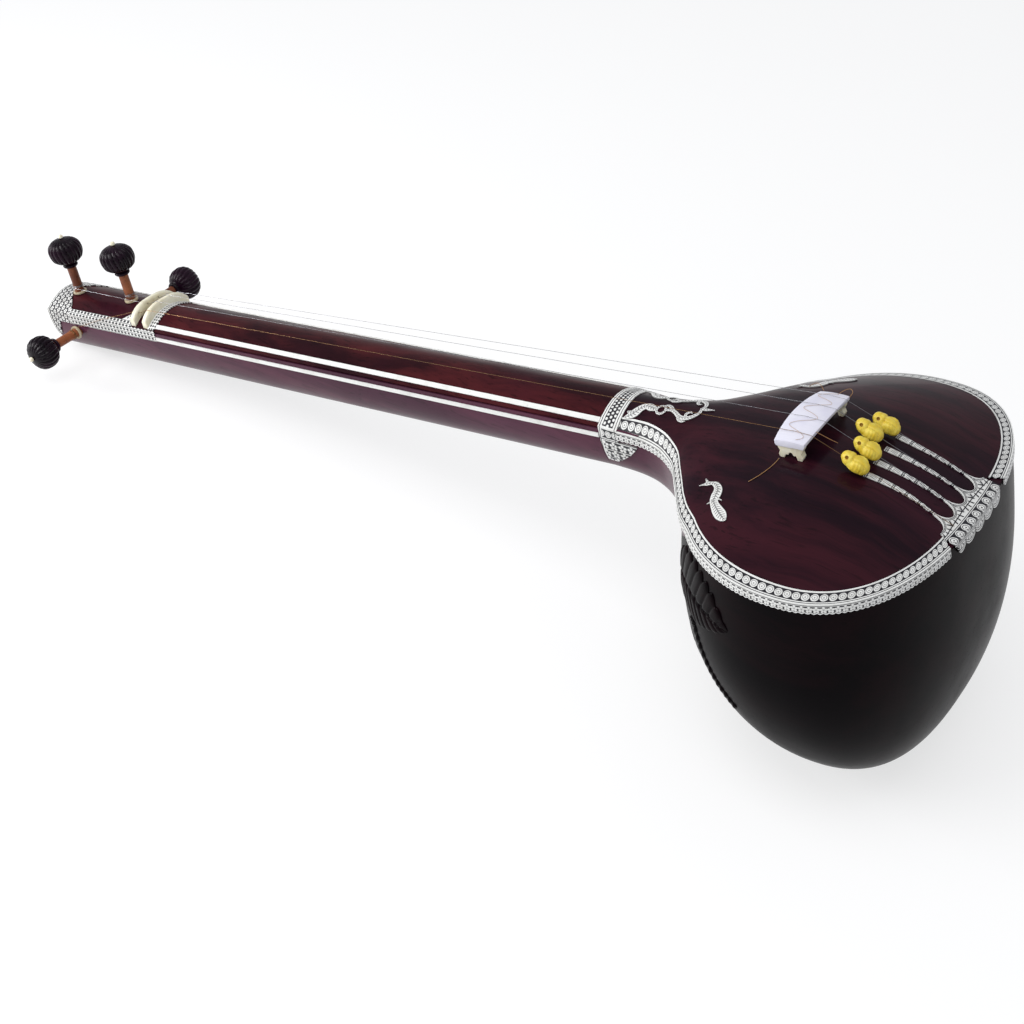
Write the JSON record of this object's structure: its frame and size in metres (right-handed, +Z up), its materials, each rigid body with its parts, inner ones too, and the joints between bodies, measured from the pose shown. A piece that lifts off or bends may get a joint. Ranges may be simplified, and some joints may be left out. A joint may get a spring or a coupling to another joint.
{
  "type": "tanpura",
  "caption": "Long-necked plucked drone lute with a gourd bowl, domed soundboard, engraved white trim, turning pegs and sliding tuning beads, lying on its back.",
  "frame": {"origin": "on the floor, under the middle of the instrument's bounding box", "axes": "+X along the length from the head toward the gourd, +Z up, +Y to the side away from the viewer"},
  "size_m": [1.35, 0.4072, 0.3618],
  "materials": {
    "dark_lacquer": "deep gloss",
    "maroon_lacquer": "deep gloss, streaked grain",
    "engraved_celluloid": "white with blackened engraving",
    "bone": "smooth satin",
    "white_plate": "satin",
    "bronze": "drawn wire",
    "steel": "drawn wire",
    "thread": "twisted silk",
    "orange_wood": "satin",
    "black_wood": "satin",
    "yellow_bead": "satin"
  },
  "bodies": {
    "body": {"neck_trough": "dark_lacquer", "neck_face": "maroon_lacquer", "head_cap": "dark_lacquer", "soundboard": "maroon_lacquer", "neck_heel": "dark_lacquer", "gourd_shell": "dark_lacquer", "leaf_near": "dark_lacquer", "leaf_far": "dark_lacquer", "leaf_back": "dark_lacquer", "binding_near": "engraved_celluloid", "binding_far": "engraved_celluloid", "joint_band": "engraved_celluloid", "stripe_upper_near": "engraved_celluloid", "stripe_lower_near": "engraved_celluloid", "stripe_upper_far": "engraved_celluloid", "stripe_lower_far": "engraved_celluloid", "head_band": "engraved_celluloid", "ridge_strip_near": "engraved_celluloid", "ridge_strip_far": "engraved_celluloid", "nut_strip": "engraved_celluloid", "tailpiece": "engraved_celluloid", "tail_apron": "engraved_celluloid", "vine_ornament": "engraved_celluloid", "peacock_near": "engraved_celluloid", "peacock_far": "engraved_celluloid", "string_nut": "bone", "string_guide": "bone", "bridge_leg_near": "bone", "bridge_leg_far": "bone", "peg_front_1_ring": "bone", "peg_front_2_ring": "bone", "peg_side_near_ring": "bone", "peg_side_far_ring": "bone", "bridge_plate": "white_plate", "string_1_bronze": "bronze", "string_2": "steel", "string_3": "steel", "string_4": "steel", "jiva_thread": "thread", "jiva_thread_end": "thread"},
    "peg_front_1": {"peg_front_1_shaft": "orange_wood", "peg_front_1_head": "black_wood", "peg_front_1_finial": "bone"},
    "peg_front_2": {"peg_front_2_shaft": "orange_wood", "peg_front_2_head": "black_wood", "peg_front_2_finial": "bone"},
    "peg_side_near": {"peg_side_near_shaft": "orange_wood", "peg_side_near_head": "black_wood", "peg_side_near_finial": "bone"},
    "peg_side_far": {"peg_side_far_shaft": "orange_wood", "peg_side_far_head": "black_wood", "peg_side_far_finial": "bone"},
    "tuning_bead_1": {"bead_1": "yellow_bead"},
    "tuning_bead_2": {"bead_2": "yellow_bead"},
    "tuning_bead_3": {"bead_3": "yellow_bead"},
    "tuning_bead_4": {"bead_4": "yellow_bead"}
  },
  "joints": [
    {"name": "peg_front_1_turn", "type": "hinge", "parent": "body", "child": "peg_front_1", "pos_m": [-0.63746, -0.0055, 0.08781], "axis": [-0.2161, 0, 0.9764], "continuous": true},
    {"name": "peg_front_2_turn", "type": "hinge", "parent": "body", "child": "peg_front_2", "pos_m": [-0.53304, -0.002, 0.11116], "axis": [-0.2161, 0, 0.9764], "continuous": true},
    {"name": "peg_side_near_turn", "type": "hinge", "parent": "body", "child": "peg_side_near", "pos_m": [-0.61249, -0.041, 0.05132], "axis": [0, -1, 0], "continuous": true},
    {"name": "peg_side_far_turn", "type": "hinge", "parent": "body", "child": "peg_side_far", "pos_m": [-0.54473, 0.041, 0.08066], "axis": [0, 1, 0], "continuous": true},
    {"name": "tuning_bead_1_slide", "type": "slide", "parent": "body", "child": "tuning_bead_1", "axis": [-0.9724, 0, 0.2333], "range_m": [-0.012, 0.018]},
    {"name": "tuning_bead_2_slide", "type": "slide", "parent": "body", "child": "tuning_bead_2", "axis": [-0.968, 0, 0.251], "range_m": [-0.012, 0.018]},
    {"name": "tuning_bead_3_slide", "type": "slide", "parent": "body", "child": "tuning_bead_3", "axis": [-0.968, 0, 0.251], "range_m": [-0.012, 0.018]},
    {"name": "tuning_bead_4_slide", "type": "slide", "parent": "body", "child": "tuning_bead_4", "axis": [-0.9724, 0, 0.2333], "range_m": [-0.012, 0.018]}
  ]
}
